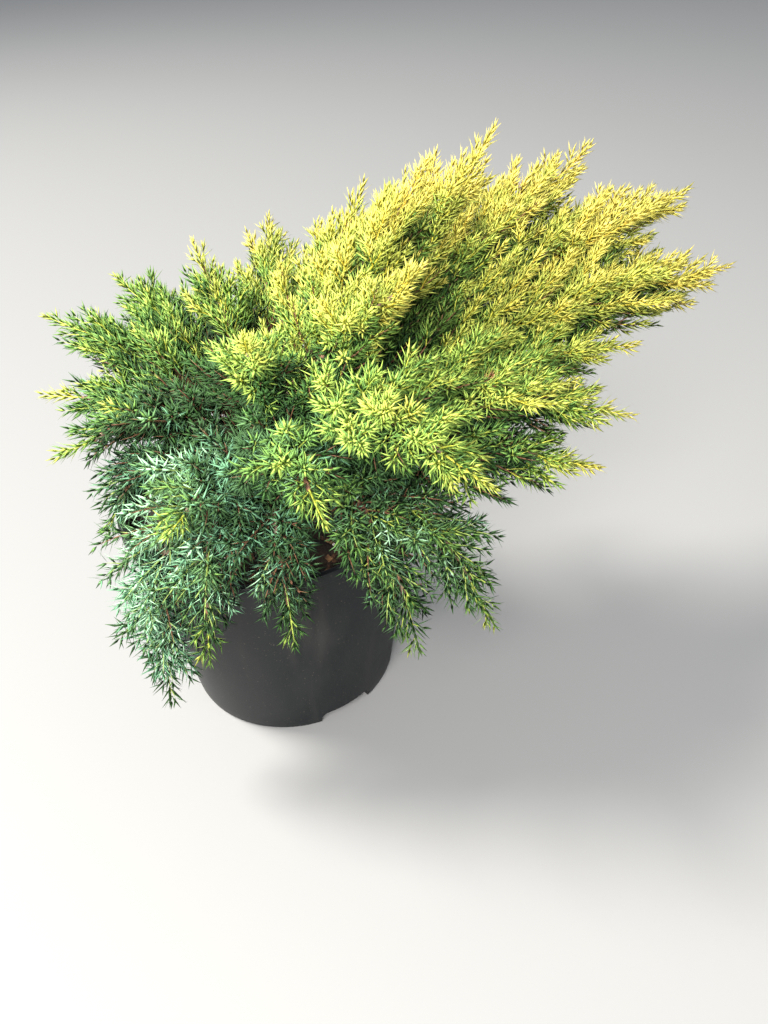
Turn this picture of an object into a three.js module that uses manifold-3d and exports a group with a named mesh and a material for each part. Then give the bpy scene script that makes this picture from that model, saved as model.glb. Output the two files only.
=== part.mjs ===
// A young spreading juniper in a black nursery pot.
//
// Sizes are in millimetres, +Z is up, and the origin is the middle of the pot's flat underside.
// -Y is the side that the plant is looked at from, and headings turn from +X towards +Y.
//
// The short stem stands on the potting mix and forks low. Each bough leaves the stem as one
// tapering limb and ends where its foliage starts. Each foliage mass goes on from its bough's tip:
// a leader, twigs that branch from it by a seeded rule, and sprays of needles fused on. A mass
// keeps to the space that lies nearer to its own leader than to any other.
import * as THREE from 'three';
import { mergeVertices } from 'three/addons/utils/BufferGeometryUtils.js';
import Module from 'manifold-3d';

const wasm = await Module();
wasm.setup();

// Driving dimensions
const pot = {
  height: 190,
  baseRadius: 90,
  topRadius: 113.5,
  wall: 1.8,
  floor: 2.5,
  corner: 3,
  rimWidth: 3.5,
  rimDepth: 9,
  rimRounding: 1.5,
  sides: 36,
  notches: 3,
  firstNotch: -57,
  notchWidth: 47,
  notchHeight: 12,
  notchDepth: 11,
  notchOverrun: 10,
  notchSteps: 3,
  slotWidth: 24,
  slotHeight: 4,
  slotRise: 7, // of the slot's middle above the ground
};
const soilTop = 170;
const gap = 0.3;

const stem = {
  flareRadius: 15,
  flareFade: 8,
  footRadius: 11.5,
  topRadius: 6,
  topRounding: 3,
  levels: [0, 6, 16, 40, 77, 82],
  height: 82,
  leanDegrees: 9,
  leanHeading: 10,
  sides: 10,
};

const limb = {
  rootRadius: 4.2,
  tipRadius: 2.4,
  sides: 5,
  steps: 4,
  share: 0.3, // of the way from the stem to the furthest tip
  shortest: 42,
  longest: 80,
};

// Spacings are in millimetres, and leans and turns in degrees. A leader ring's share is of the
// leader's length, a twig's reach is a share of what is left of the leader past its root, and a
// spray's width is a share of its length.
const foliage = {
  leaderSides: 4,
  leaderRings: [
    { share: 0, radius: 1.7 },
    { share: 0.1, radius: 5 },
    { share: 0.4, radius: 9 },
    { share: 1, radius: 1 },
  ],
  slimmest: 2,
  drawIn: 0.5, // the step by which a leader's corner is drawn in
  firstTwig: 4,
  lastTwig: 44, // before the tip
  twigSpacing: 10.5,
  twigSpacingJitter: 0.5,
  turn: 137.5,
  turnJitter: 40,
  lean: 50,
  leanTip: 32,
  leanJitter: 14,
  twigBase: 7,
  twigReach: 0.48,
  twigReachJitter: 0.2,
  twigLongest: 92,
  rise: 0.12,
  upwardLoss: 0.3,
  hangingSpread: 0.75, // of a twig's length, where the bough's tip hangs down to the ground
  fullSpreadHeight: 250,
  sprayWidth: 0.4,
  sprayRings: [
    { along: 0.33, width: 1 },
    { along: 0.29, width: 0.12 },
    { along: 0.73, width: 0.77 },
  ],
  sprayMiddle: 0.6,
  sprayChecks: [0.3, 0.5, 0.7, 0.9],
  tipSprayLength: 60,
  tipSprayWidth: 0.32,
  sprayRoot: 14,
  sprayApart: 8.5,
  fits: [1, 0.85, 0.7, 0.55],
  clearOfOthers: 0.8,
  clearOfLimbs: 1.2,
  clearOfPot: 3,
  clearOfGround: 12,
  leaderMarks: 10,
  limbMarks: 6,
};

// Each bough with its foliage: heading (degrees), reach of the furthest tip from the pot's axis,
// height of that tip above the ground, how far out (share of reach) and how high the bough aims
// before it bends, the height of its foot above the potting mix, and how golden its foliage is.
const boughs = [
  ['crown_leader', 6, 178, 440, 0.42, 330, 78, 0.95],
  ['crown_front', -2, 134, 430, 0.4, 330, 70, 0.9],
  ['crown_back', 33, 112, 402, 0.4, 320, 74, 0.9],
  ['crown_left', 117, 93, 360, 0.4, 310, 78, 0.65],
  ['crown_right', -33, 150, 392, 0.42, 330, 66, 0.8],
  ['right_back_upper', 24, 288, 398, 0.42, 325, 64, 0.95],
  ['right_back_far', 17, 352, 366, 0.45, 330, 48, 0.95],
  ['right_far', 7, 355, 328, 0.45, 325, 56, 0.9],
  ['right_long', -3, 276, 300, 0.45, 305, 36, 0.7],
  ['right_front_upper', -16, 268, 276, 0.5, 326, 50, 0.5],
  ['right_front_low', -24, 254, 258, 0.5, 288, 28, 0.4],
  ['front_right', -50, 235, 300, 0.5, 352, 48, 0.4],
  ['low_right', -38, 203, 142, 0.75, 300, 10, 0.15],
  ['low_front_right', -51, 172, 132, 0.82, 312, 18, 0.15],
  ['low_front', -80, 148, 158, 0.85, 300, 10, 0.1],
  ['low_front_left', -102, 150, 148, 0.85, 306, 16, 0.05],
  ['front_centre', -72, 192, 282, 0.5, 326, 38, 0.1],
  ['front_left', -101, 174, 268, 0.55, 296, 24, 0.0],
  ['front_upper', -80, 115, 368, 0.45, 325, 62, 0.4],
  ['low_left', -120, 147, 84, 0.9, 315, 22, 0.0],
  ['left_low', -143, 125, 198, 0.8, 322, 12, 0.0],
  ['left_front', -150, 144, 258, 0.5, 322, 44, 0.3],
  ['left', -173, 150, 278, 0.5, 306, 32, 0.35],
  ['left_back', 160, 172, 308, 0.5, 315, 50, 0.5],
  ['back_left', 133, 182, 308, 0.5, 315, 34, 0.65],
  ['back', 86, 152, 348, 0.5, 325, 56, 0.8],
  ['back_low', 106, 208, 226, 0.6, 285, 16, 0.35],
  ['back_right', 42, 232, 262, 0.5, 300, 26, 0.6],
].map(([name, heading, reach, height, out, aim, foot, gold]) => {
  return { name, heading, reach, height, out, aim, foot, gold };
});

const looks = {
  pot: { color: 0x1d1e20, roughness: 0.55 },
  soil: { color: 0x3a2a1e, roughness: 1 },
  bark: { color: 0x6e4a35, roughness: 0.95 },
  greenFoliage: { color: 0x5d8a5c, roughness: 0.7 },
  goldFoliage: { color: 0xbcb53c, roughness: 0.7 },
};

const degrees = THREE.MathUtils.degToRad;
const lerp = THREE.MathUtils.lerp;
const zAxis = new THREE.Vector3(0, 0, 1);

// Solids

function solidFrom(geometry) {
  const plain = geometry.clone();
  plain.deleteAttribute('normal');
  plain.deleteAttribute('uv');
  const merged = mergeVertices(plain, 1e-4);
  const corners = merged.index.array;
  const kept = [];
  for (let i = 0; i < corners.length; i += 3) {
    const [a, b, c] = [corners[i], corners[i + 1], corners[i + 2]];
    if (a !== b && b !== c && c !== a) kept.push(a, b, c);
  }
  const vertProperties = merged.attributes.position.array;
  const build = (triVerts) => new wasm.Manifold(new wasm.Mesh({ numProp: 3, vertProperties, triVerts }));
  const solid = build(new Uint32Array(kept));
  return solid.volume() > 0 ? solid : build(new Uint32Array(kept.reverse()));
}

function largestBody(solid) {
  return solid.decompose().sort((a, b) => b.volume() - a.volume())[0];
}

function meshFrom(name, solid, look) {
  const { numProp, vertProperties, triVerts } = solid.getMesh();
  const positions = new Float32Array(triVerts.length * 3);
  triVerts.forEach((vertex, i) => {
    positions.set(vertProperties.subarray(vertex * numProp, vertex * numProp + 3), i * 3);
  });
  const geometry = new THREE.BufferGeometry();
  geometry.setAttribute('position', new THREE.BufferAttribute(positions, 3));
  geometry.computeVertexNormals();
  const mesh = new THREE.Mesh(geometry, new THREE.MeshStandardMaterial({ metalness: 0, ...look }));
  mesh.name = name;
  return mesh;
}

function latheSolid(profile, sides) {
  const points = profile.map(([radius, height]) => new THREE.Vector2(radius, height));
  return solidFrom(new THREE.LatheGeometry(points, sides).rotateX(Math.PI / 2));
}

// One closed limb of round section along a curve, tapering from its root to its tip.
function limbSolid(curve, rootRadius, tipRadius, sides, steps) {
  const geometry = new THREE.CylinderGeometry(tipRadius, rootRadius, 1, sides, steps);
  const frames = curve.computeFrenetFrames(steps);
  const place = geometry.attributes.position;
  for (let i = 0; i < place.count; i++) {
    const along = place.getY(i) + 0.5;
    const ring = Math.round(along * steps);
    const centre = curve.getPointAt(along);
    centre.addScaledVector(frames.normals[ring], place.getX(i));
    centre.addScaledVector(frames.binormals[ring], place.getZ(i));
    place.setXYZ(i, centre.x, centre.y, centre.z);
  }
  return solidFrom(geometry);
}

// Pot and potting mix

function wallRadius(height) {
  return lerp(pot.baseRadius, pot.topRadius, height / pot.height);
}

// The arched notches between the pot's feet, grown on every side by a margin.
function notchSolids(margin) {
  const half = pot.notchWidth / 2 + margin;
  const top = pot.notchHeight + margin;
  const round = pot.notchHeight / 2;
  const arch = new THREE.Shape();
  arch.moveTo(-half, -1);
  arch.lineTo(half, -1);
  arch.lineTo(half, top - round);
  arch.absarc(half - round, top - round, round, 0, Math.PI / 2, false);
  arch.absarc(-half + round, top - round, round, Math.PI / 2, Math.PI, false);
  arch.lineTo(-half, -1);
  const depth = pot.notchDepth + margin + pot.notchOverrun;
  const options = { depth, bevelEnabled: false, curveSegments: pot.notchSteps };
  const solids = [];
  for (let i = 0; i < pot.notches; i++) {
    const geometry = new THREE.ExtrudeGeometry(arch, options);
    geometry.rotateX(Math.PI / 2).rotateZ(Math.PI / 2);
    geometry.translate(pot.baseRadius - pot.notchDepth - margin, 0, 0);
    geometry.rotateZ(degrees(pot.firstNotch + (360 / pot.notches) * i));
    solids.push(solidFrom(geometry));
  }
  return wasm.Manifold.union(solids);
}

// The drain slots through the back walls of the notches.
function slotSolids() {
  const solids = [];
  for (let i = 0; i < pot.notches; i++) {
    const geometry = new THREE.BoxGeometry(4 * pot.wall, pot.slotWidth, pot.slotHeight);
    geometry.translate(pot.baseRadius - pot.notchDepth - pot.wall, 0, pot.slotRise);
    geometry.rotateZ(degrees(pot.firstNotch + (360 / pot.notches) * i));
    solids.push(solidFrom(geometry));
  }
  return wasm.Manifold.union(solids);
}

// The space inside the pot, which leaves the walls round the notches.
function cavitySolid() {
  const top = pot.height + 1;
  const profile = [
    [0, pot.floor],
    [wallRadius(pot.floor) - pot.wall - pot.corner, pot.floor],
    [wallRadius(pot.floor + pot.corner) - pot.wall, pot.floor + pot.corner],
    [wallRadius(top) - pot.wall, top],
    [0, top],
  ];
  return latheSolid(profile, pot.sides).subtract(notchSolids(pot.wall));
}

// The plug of potting mix, which is narrower where it stands between the notches.
function pottingMixSolid() {
  const foot = pot.floor + gap;
  const shoulder = pot.notchHeight + pot.wall + gap;
  const footRadius = pot.baseRadius - pot.notchDepth - pot.wall - 1;
  const profile = [
    [0, foot],
    [footRadius, foot],
    [footRadius, shoulder],
    [wallRadius(shoulder) - pot.wall - gap, shoulder],
    [wallRadius(soilTop) - pot.wall - gap, soilTop],
    [0, soilTop],
  ];
  return latheSolid(profile, pot.sides);
}

function potSolid() {
  const rimFoot = pot.height - pot.rimDepth;
  const rimRadius = pot.topRadius + pot.rimWidth;
  const outside = latheSolid(
    [
      [0, 0],
      [pot.baseRadius - pot.corner, 0],
      [wallRadius(pot.corner), pot.corner],
      [wallRadius(rimFoot), rimFoot],
      [rimRadius, rimFoot + pot.rimRounding],
      [rimRadius, pot.height - pot.rimRounding],
      [rimRadius - pot.rimRounding, pot.height],
      [0, pot.height],
    ],
    pot.sides,
  );
  return outside.subtract(notchSolids(0)).subtract(cavitySolid()).subtract(slotSolids());
}

// Stem and boughs

const stemLean = new THREE.Vector3(
  Math.sin(degrees(stem.leanDegrees)) * Math.cos(degrees(stem.leanHeading)),
  Math.sin(degrees(stem.leanDegrees)) * Math.sin(degrees(stem.leanHeading)),
  Math.cos(degrees(stem.leanDegrees)),
);
const stemFoot = new THREE.Vector3(0, 0, soilTop + gap);

function stemPoint(height) {
  return stemFoot.clone().addScaledVector(stemLean, height / stemLean.z);
}

function stemRadius(height) {
  const flare = (stem.flareRadius - stem.footRadius) * Math.exp(-height / stem.flareFade);
  return lerp(stem.footRadius, stem.topRadius, height / stem.height) + flare;
}

function stemSolid(margin) {
  const profile = [[0, 0]];
  for (const level of stem.levels) {
    const rounding = level === stem.height ? stem.topRounding : 0;
    profile.push([stemRadius(level) - rounding + margin, level]);
  }
  profile.push([0, stem.height]);
  const points = profile.map(([radius, height]) => new THREE.Vector2(radius, height));
  const geometry = new THREE.LatheGeometry(points, stem.sides).rotateX(Math.PI / 2);
  const place = geometry.attributes.position;
  for (let i = 0; i < place.count; i++) {
    const middle = stemPoint(place.getZ(i));
    place.setXYZ(i, place.getX(i) + middle.x, place.getY(i) + middle.y, middle.z);
  }
  return solidFrom(geometry);
}

// The line of a whole bough, from inside the stem to the furthest tip of its foliage.
function boughCurve(bough) {
  const x = Math.cos(degrees(bough.heading)) * bough.reach;
  const y = Math.sin(degrees(bough.heading)) * bough.reach;
  const foot = stemPoint(bough.foot);
  const bend = new THREE.Vector3(x * bough.out, y * bough.out, bough.aim);
  return new THREE.QuadraticBezierCurve3(foot, bend, new THREE.Vector3(x, y, bough.height));
}

// A piece of a curve between two shares of its length.
class PartCurve extends THREE.Curve {
  constructor(whole, from, to) {
    super();
    Object.assign(this, { whole, from, to });
  }

  getPoint(t, target = new THREE.Vector3()) {
    return this.whole.getPointAt(lerp(this.from, this.to, t), target);
  }
}

for (const bough of boughs) {
  bough.line = boughCurve(bough);
  bough.length = bough.line.getLength();
  const limbLength = THREE.MathUtils.clamp(limb.share * bough.length, limb.shortest, limb.longest);
  bough.end = limbLength / bough.length;
  bough.limbLine = new PartCurve(bough.line, 0, bough.end);
  bough.leaderLine = new PartCurve(bough.line, bough.end + gap / bough.length, 1);
  bough.leaderLength = bough.leaderLine.getLength();
  bough.leaderPoints = bough.leaderLine.getPoints(foliage.leaderMarks);
  bough.limbPoints = bough.limbLine.getPoints(foliage.limbMarks);
  bough.spread = Math.min(1, lerp(foliage.hangingSpread, 1, bough.height / foliage.fullSpreadHeight));
}

function boughSolid(bough, margin) {
  const rootRadius = limb.rootRadius + margin;
  const tipRadius = limb.tipRadius + margin;
  return limbSolid(bough.limbLine, rootRadius, tipRadius, limb.sides, limb.steps);
}

// The space of each mass

const segment = new THREE.Line3();
const nearest = new THREE.Vector3();

function distanceToLine(point, linePoints) {
  let least = Infinity;
  for (let i = 1; i < linePoints.length; i++) {
    segment.set(linePoints[i - 1], linePoints[i]).closestPointToPoint(point, true, nearest);
    least = Math.min(least, nearest.distanceTo(point));
  }
  return least;
}

function clearOfPot(point) {
  if (point.z < foliage.clearOfGround) return false;
  if (point.z > pot.height + foliage.clearOfPot) return true;
  return Math.hypot(point.x, point.y) > pot.topRadius + pot.rimWidth + foliage.clearOfPot;
}

function inOwnSpace(point, own) {
  if (!clearOfPot(point)) return false;
  const ownDistance = distanceToLine(point, own.leaderPoints);
  for (const other of boughs) {
    if (other !== own) {
      if (distanceToLine(point, other.leaderPoints) < ownDistance + foliage.clearOfOthers) return false;
      if (distanceToLine(point, other.limbPoints) < limb.rootRadius + foliage.clearOfLimbs) return false;
    }
  }
  return distanceToLine(point, own.limbPoints) > limb.tipRadius + foliage.clearOfLimbs;
}

// Foliage

function seededRandom(seed) {
  let state = seed;
  return () => {
    state = (state * 1664525 + 1013904223) % 4294967296;
    return state / 4294967296;
  };
}

// A direction that leans off an axis, turned about it from its own side.
function leaning(axis, lean, turn) {
  const side = new THREE.Vector3().crossVectors(axis, zAxis).normalize();
  const top = new THREE.Vector3().crossVectors(side, axis);
  return axis
    .clone()
    .multiplyScalar(Math.cos(lean))
    .addScaledVector(side, Math.sin(lean) * Math.cos(turn))
    .addScaledVector(top, Math.sin(lean) * Math.sin(turn));
}

// A spray along +Z from its root: a slim three-sided core with two whorls of three needles that
// stand out of it.
function sprayGeometry(length, width) {
  const profile = [new THREE.Vector2(0, 0)];
  for (const ring of foliage.sprayRings) {
    profile.push(new THREE.Vector2((ring.width * width) / 2, ring.along * length));
  }
  profile.push(new THREE.Vector2(0, length));
  return new THREE.LatheGeometry(profile, 3).rotateX(Math.PI / 2);
}

function placed(geometry, root, direction, turn) {
  const towards = new THREE.Quaternion().setFromUnitVectors(zAxis, direction);
  const spin = new THREE.Quaternion().setFromAxisAngle(zAxis, turn);
  return geometry.applyQuaternion(spin).applyQuaternion(towards).translate(root.x, root.y, root.z);
}

function pointAlong(root, direction, distance) {
  return root.clone().addScaledVector(direction, distance);
}

// Whether a spray stays in its mass's own space, read along its middle and at its corners.
function fitsSpace(geometry, root, direction, length, own) {
  for (const share of foliage.sprayChecks) {
    if (!inOwnSpace(pointAlong(root, direction, length * share), own)) return false;
  }
  const place = geometry.attributes.position;
  const corner = new THREE.Vector3();
  for (let i = 0; i < place.count; i++) {
    corner.fromBufferAttribute(place, i);
    if (corner.distanceTo(root) > foliage.sprayRoot && !inOwnSpace(corner, own)) return false;
  }
  return true;
}

// The stem of a mass, which swells to the dense heart of its foliage and tapers to its tip. It is
// drawn in wherever it would leave the mass's own space.
function leaderSolid(bough) {
  const rings = foliage.leaderRings;
  const geometry = new THREE.CylinderGeometry(1, 1, 1, foliage.leaderSides, rings.length - 1);
  const place = geometry.attributes.position;
  for (let i = 0; i < place.count; i++) {
    const ring = rings[Math.round((place.getY(i) + 0.5) * (rings.length - 1))];
    const centre = bough.leaderLine.getPointAt(ring.share);
    const axis = bough.leaderLine.getTangentAt(ring.share);
    const outwards = leaning(axis, Math.PI / 2, Math.atan2(place.getZ(i), place.getX(i)));
    const isMiddle = Math.hypot(place.getX(i), place.getZ(i)) < 0.5;
    let radius = isMiddle ? 0 : ring.radius;
    let point = pointAlong(centre, outwards, radius);
    while (radius > foliage.slimmest && !inOwnSpace(point, bough)) {
      radius -= foliage.drawIn;
      point = pointAlong(centre, outwards, radius);
    }
    place.setXYZ(i, point.x, point.y, point.z);
  }
  return solidFrom(geometry);
}

// The twigs of a mass: where each leaves the leader, its direction, its turn and its length.
function twigsOf(bough, seed) {
  const random = seededRandom(seed);
  const twigs = [];
  const length = bough.leaderLength;
  let along = foliage.firstTwig;
  for (let i = 0; along < length - foliage.lastTwig; i++) {
    const share = along / length;
    const turn = degrees(i * foliage.turn + (random() - 0.5) * foliage.turnJitter);
    const lean = lerp(foliage.lean, foliage.leanTip, share) + (random() - 0.5) * foliage.leanJitter;
    const reachShare = foliage.twigReach + foliage.twigReachJitter * random();
    const root = bough.leaderLine.getPointAt(share);
    const axis = bough.leaderLine.getTangentAt(share);
    const direction = leaning(axis, degrees(lean), turn).addScaledVector(zAxis, foliage.rise).normalize();
    const held = 1 - foliage.upwardLoss * Math.max(0, Math.sin(turn));
    const reach = Math.min(reachShare * (length - along) + foliage.twigBase, foliage.twigLongest);
    twigs.push({ root, direction, turn, length: reach * held * bough.spread });
    along += foliage.twigSpacing * (1 + foliage.twigSpacingJitter * (random() - 0.5));
  }
  return twigs;
}

// The longest spray that fits beside those that already grow, or nothing where none does.
function fittedSpray(twig, own, grown) {
  const distanceTo = (line, point) => line.closestPointToPoint(point, true, nearest).distanceTo(point);
  const isApart = (point) => grown.every((line) => distanceTo(line, point) > foliage.sprayApart);
  for (const share of foliage.fits) {
    const length = twig.length * share;
    const geometry = sprayGeometry(length, foliage.sprayWidth * length);
    placed(geometry, twig.root, twig.direction, twig.turn);
    const middle = pointAlong(twig.root, twig.direction, length * foliage.sprayMiddle);
    const tip = pointAlong(twig.root, twig.direction, length);
    const fits = fitsSpace(geometry, twig.root, twig.direction, length, own);
    if (fits && isApart(middle) && isApart(tip)) {
      grown.push(new THREE.Line3(twig.root, tip));
      return solidFrom(geometry);
    }
  }
  return null;
}

function massSolid(bough, index) {
  const tip = bough.leaderLine.getPointAt(1);
  const tipAxis = bough.leaderLine.getTangentAt(1);
  const tipRoot = pointAlong(tip, tipAxis, -foliage.tipSprayLength);
  const tipSpray = sprayGeometry(foliage.tipSprayLength, foliage.tipSprayWidth * foliage.tipSprayLength);
  const grown = [new THREE.Line3(tipRoot, tip)];
  const solids = [leaderSolid(bough), solidFrom(placed(tipSpray, tipRoot, tipAxis, 0))];
  for (const twig of twigsOf(bough, index + 1)) {
    const spray = fittedSpray(twig, bough, grown);
    if (spray) solids.push(spray);
  }
  return largestBody(wasm.Manifold.union(solids));
}

// Assembly

const plant = new THREE.Group();
plant.name = 'potted_juniper';
plant.add(meshFrom('pot', potSolid(), looks.pot));
plant.add(meshFrom('potting_mix', pottingMixSolid(), looks.soil));
plant.add(meshFrom('stem', stemSolid(0), looks.bark));

const stemRoom = stemSolid(gap);
const limbRooms = [];
for (const bough of boughs) {
  let solid = boughSolid(bough, 0).subtract(stemRoom);
  for (const room of limbRooms) solid = solid.subtract(room);
  limbRooms.push(boughSolid(bough, gap));
  plant.add(meshFrom(`bough_${bough.name}`, largestBody(solid), looks.bark));
}

boughs.forEach((bough, index) => {
  const look = bough.gold > 0.5 ? looks.goldFoliage : looks.greenFoliage;
  plant.add(meshFrom(`foliage_${bough.name}`, massSolid(bough, index), look));
});

export default plant;
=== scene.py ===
import itertools
import time
from math import cos, exp, hypot, pi, radians, sin, sqrt, tan

import bmesh
import bpy
import numpy as np
from mathutils import Matrix, Vector, noise


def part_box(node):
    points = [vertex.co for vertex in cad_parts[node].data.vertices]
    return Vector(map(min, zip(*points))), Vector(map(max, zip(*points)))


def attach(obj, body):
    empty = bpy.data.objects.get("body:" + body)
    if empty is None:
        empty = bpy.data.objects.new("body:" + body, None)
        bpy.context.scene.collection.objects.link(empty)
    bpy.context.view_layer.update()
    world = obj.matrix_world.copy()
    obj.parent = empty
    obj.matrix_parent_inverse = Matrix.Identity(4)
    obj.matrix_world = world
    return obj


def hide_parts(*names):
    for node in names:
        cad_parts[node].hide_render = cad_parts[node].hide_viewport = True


startTime = time.time()
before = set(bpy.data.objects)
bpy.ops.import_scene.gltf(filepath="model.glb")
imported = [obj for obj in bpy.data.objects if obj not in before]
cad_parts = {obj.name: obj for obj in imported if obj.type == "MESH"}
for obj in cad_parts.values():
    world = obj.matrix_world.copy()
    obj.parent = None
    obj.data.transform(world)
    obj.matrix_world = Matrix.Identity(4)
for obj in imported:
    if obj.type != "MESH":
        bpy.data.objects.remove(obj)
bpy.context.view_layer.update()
scene = bpy.context.scene
mm = 0.001


def report(stage):
    print(f"{stage} at {time.time() - startTime:.1f} s", flush=True)


def rows(vectors):
    return np.asarray(vectors, dtype=float)


def unit(vectors):
    return vectors / np.maximum(np.linalg.norm(vectors, axis=-1, keepdims=True), 1e-9)


def blend(pair, share):
    return pair[0] + (pair[1] - pair[0]) * share


def linked(name, data):
    made = bpy.data.objects.new(name, data)
    scene.collection.objects.link(made)
    return made


def dressed(piece, paints):
    for material in paints:
        piece.data.materials.append(material)
    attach(piece, "root")
    return piece


def trianglePiece(name, corners, faces, kinds, paints):
    mesh = bpy.data.meshes.new(name)
    mesh.vertices.add(len(corners))
    mesh.vertices.foreach_set("co", corners.astype(np.float32).ravel())
    mesh.loops.add(faces.size)
    mesh.loops.foreach_set("vertex_index", faces.astype(np.int32).ravel())
    mesh.polygons.add(len(faces))
    mesh.polygons.foreach_set("loop_start", np.arange(0, faces.size, 3, dtype=np.int32))
    mesh.polygons.foreach_set("material_index", kinds.astype(np.int32))
    mesh.update(calc_edges=True)
    mesh.validate()
    return dressed(linked(name, mesh), paints)


def gridPiece(name, corners, faces, paints, kinds=None):
    # Smooth and of one material, or sharp-edged with a kind of material for each face.
    mesh = bpy.data.meshes.new(name)
    mesh.from_pydata(corners.tolist(), [], faces)
    if kinds:
        mesh.polygons.foreach_set("material_index", kinds)
    else:
        mesh.shade_smooth()
    mesh.update()
    return dressed(linked(name, mesh), paints)


def onCircle(radius, angle):
    return radius * cos(angle), radius * sin(angle)


def bandEdges(bands, sides):
    # The lower edge of each face in the bands between rings of corners.
    for ring in range(bands):
        for k in range(sides):
            yield ring * sides + k, ring * sides + (k + 1) % sides


# Materials


class Field:
    # A socket with arithmetic, so that a pattern reads as a formula.

    def __init__(self, paint, socket):
        self.paint = paint
        self.socket = socket

    def combined(self, operation, first, second):
        return self.paint.node("ShaderNodeMath", {"operation": operation}, {0: first, 1: second})

    def __add__(self, other):
        return self.combined("ADD", self, other)

    def __mul__(self, other):
        return self.combined("MULTIPLY", self, other)

    def __sub__(self, other):
        return self.combined("SUBTRACT", self, other)

    def __rsub__(self, other):
        return self.combined("SUBTRACT", other, self)

    __radd__ = __add__
    __rmul__ = __mul__

    def between(self, low, high):
        settings = {"clamp": True, "interpolation_type": "SMOOTHSTEP"}
        inputs = {"Value": self, "From Min": low, "From Max": high}
        return self.paint.node("ShaderNodeMapRange", settings, inputs)


class Paint:
    # A material with one principled shader, whose inputs are plain values or fields.

    def __init__(self, name, color, roughness):
        self.material = bpy.data.materials.new(name)
        self.material.use_nodes = True
        self.tree = self.material.node_tree
        self.shader = self.tree.nodes["Principled BSDF"]
        self.put("Base Color", tone(color))
        self.put("Roughness", roughness)

    def put(self, name, value):
        self.wire(self.shader.inputs[name], value)

    def wire(self, socket, value):
        if isinstance(value, Field):
            self.tree.links.new(value.socket, socket)
        else:
            socket.default_value = value

    def node(self, kind, settings, inputs, output=0):
        node = self.tree.nodes.new(kind)
        for name, value in settings.items():
            setattr(node, name, value)
        for name, value in inputs.items():
            self.wire(node.inputs[name], value)
        return Field(self, node.outputs[output])

    def noise(self, scale, detail, stretch=(1, 1, 1)):
        place = self.node("ShaderNodeTexCoord", {}, {}, "Object")
        where = self.node("ShaderNodeMapping", {}, {"Vector": place, "Scale": stretch})
        inputs = {"Vector": where, "Scale": scale, "Detail": detail}
        return self.node("ShaderNodeTexNoise", {}, inputs, "Fac")

    def mix(self, share, first, second):
        # A mix node's colors are its inputs 6 and 7, and its output 2.
        inputs = {0: share}
        for socket, color in ((6, first), (7, second)):
            inputs[socket] = tone(color) if isinstance(color, str) else color
        return self.node("ShaderNodeMix", {"data_type": "RGBA"}, inputs, 2)

    def bump(self, height, distance, strength):
        inputs = {"Height": height, "Distance": distance, "Strength": strength}
        self.put("Normal", self.node("ShaderNodeBump", {}, inputs))


dullSpecular = 0.25  # for plastic and needles


def tone(hexColor):
    # From an sRGB hex color to the linear one that shaders take.
    shares = [int(hexColor[i : i + 2], 16) / 255 for i in (0, 2, 4)]
    return (*[s / 12.92 if s <= 0.04045 else ((s + 0.055) / 1.055) ** 2.4 for s in shares], 1)


def blackPlastic():
    paint = Paint("black_plastic", "191b1d", 0.5)
    dust = paint.noise(14, detail=6, stretch=(1, 1, 0.5)).between(0.48, 0.75)
    specks = paint.noise(700, detail=2).between(0.68, 0.76)
    runs = paint.noise(55, detail=5, stretch=(1, 1, 0.08)).between(0.5, 0.8)
    worn = paint.mix(dust * 0.45, "0f1113", "2a2b2a")
    streaked = paint.mix(runs * 0.2, worn, "44423e")
    paint.put("Base Color", paint.mix(specks * 0.5, streaked, "6c665c"))
    paint.put("Roughness", dust * 0.22 + runs * 0.1 + 0.42)
    paint.put("Specular IOR Level", dullSpecular)
    grain = paint.noise(900, detail=3) * 0.5 + paint.noise(60, detail=3) * 0.6
    paint.bump(grain, distance=0.25 * mm, strength=0.5)
    return paint.material


def dampSoil():
    paint = Paint("damp_soil", "33251a", 0.95)
    clods = paint.noise(90, detail=8)
    wet = paint.noise(18, detail=4).between(0.4, 0.65)
    crumbs = paint.mix(clods.between(0.35, 0.7), "1a120d", "3a2b1e")
    paint.put("Base Color", paint.mix(wet * 0.5, crumbs, "1a120c"))
    paint.bump(clods + paint.noise(400, detail=4) * 0.5, distance=2 * mm, strength=0.9)
    return paint.material


def chipBark(name, dark, light):
    paint = Paint(name, light, 0.9)
    streaks = paint.noise(220, detail=6, stretch=(1, 1, 0.3))
    paint.put("Base Color", paint.mix(streaks.between(0.35, 0.65), dark, light))
    paint.bump(streaks, distance=0.8 * mm, strength=0.7)
    return paint.material


def flakyBark():
    paint = Paint("flaky_bark", "6b4a36", 0.9)
    strips = paint.noise(380, detail=6, stretch=(1, 1, 0.12))
    patches = paint.noise(70, detail=4).between(0.42, 0.62)
    brown = paint.mix(strips.between(0.35, 0.68), "3d281d", "8a6148")
    paint.put("Base Color", paint.mix(patches * 0.6, brown, "8f8272"))
    paint.bump(strips + patches * 0.3, distance=0.9 * mm, strength=0.8)
    return paint.material


# Foliage tones run from blue-green at 0 to bright gold at 6. A needle has a pale upper face and a
# greener one below. The third row is painted shade: a needle with much foliage over it or beside it
# takes the two darker colours of its tone, so that the inside of the crown reads dark. The gold tones'
# lower and third-row colours stay light, as painted light shining through the needles.
leafColors = {
    "upper": ["a4cea6", "5a804e", "668c42", "96b04e", "b6be54", "cac258", "d4c660"],
    "lower": ["649470", "34532d", "365a28", "5e8036", "969e46", "bab250", "ccbe5c"],
    "deep": ["2a4836", "102211", "152712", "3c4f20", "848c42", "b0a850", "c0b456"],
    "shoot": ["8da45e", "92a652", "a2b04a", "b4b846", "c4bc44", "ccb640", "cfb046"],
    "deadNeedle": "98684a",
    "brownShoot": "6e4a33",
}
needleKinds = ["upper", "lower", "deep"]
lastTone = len(leafColors["upper"]) - 1


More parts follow.
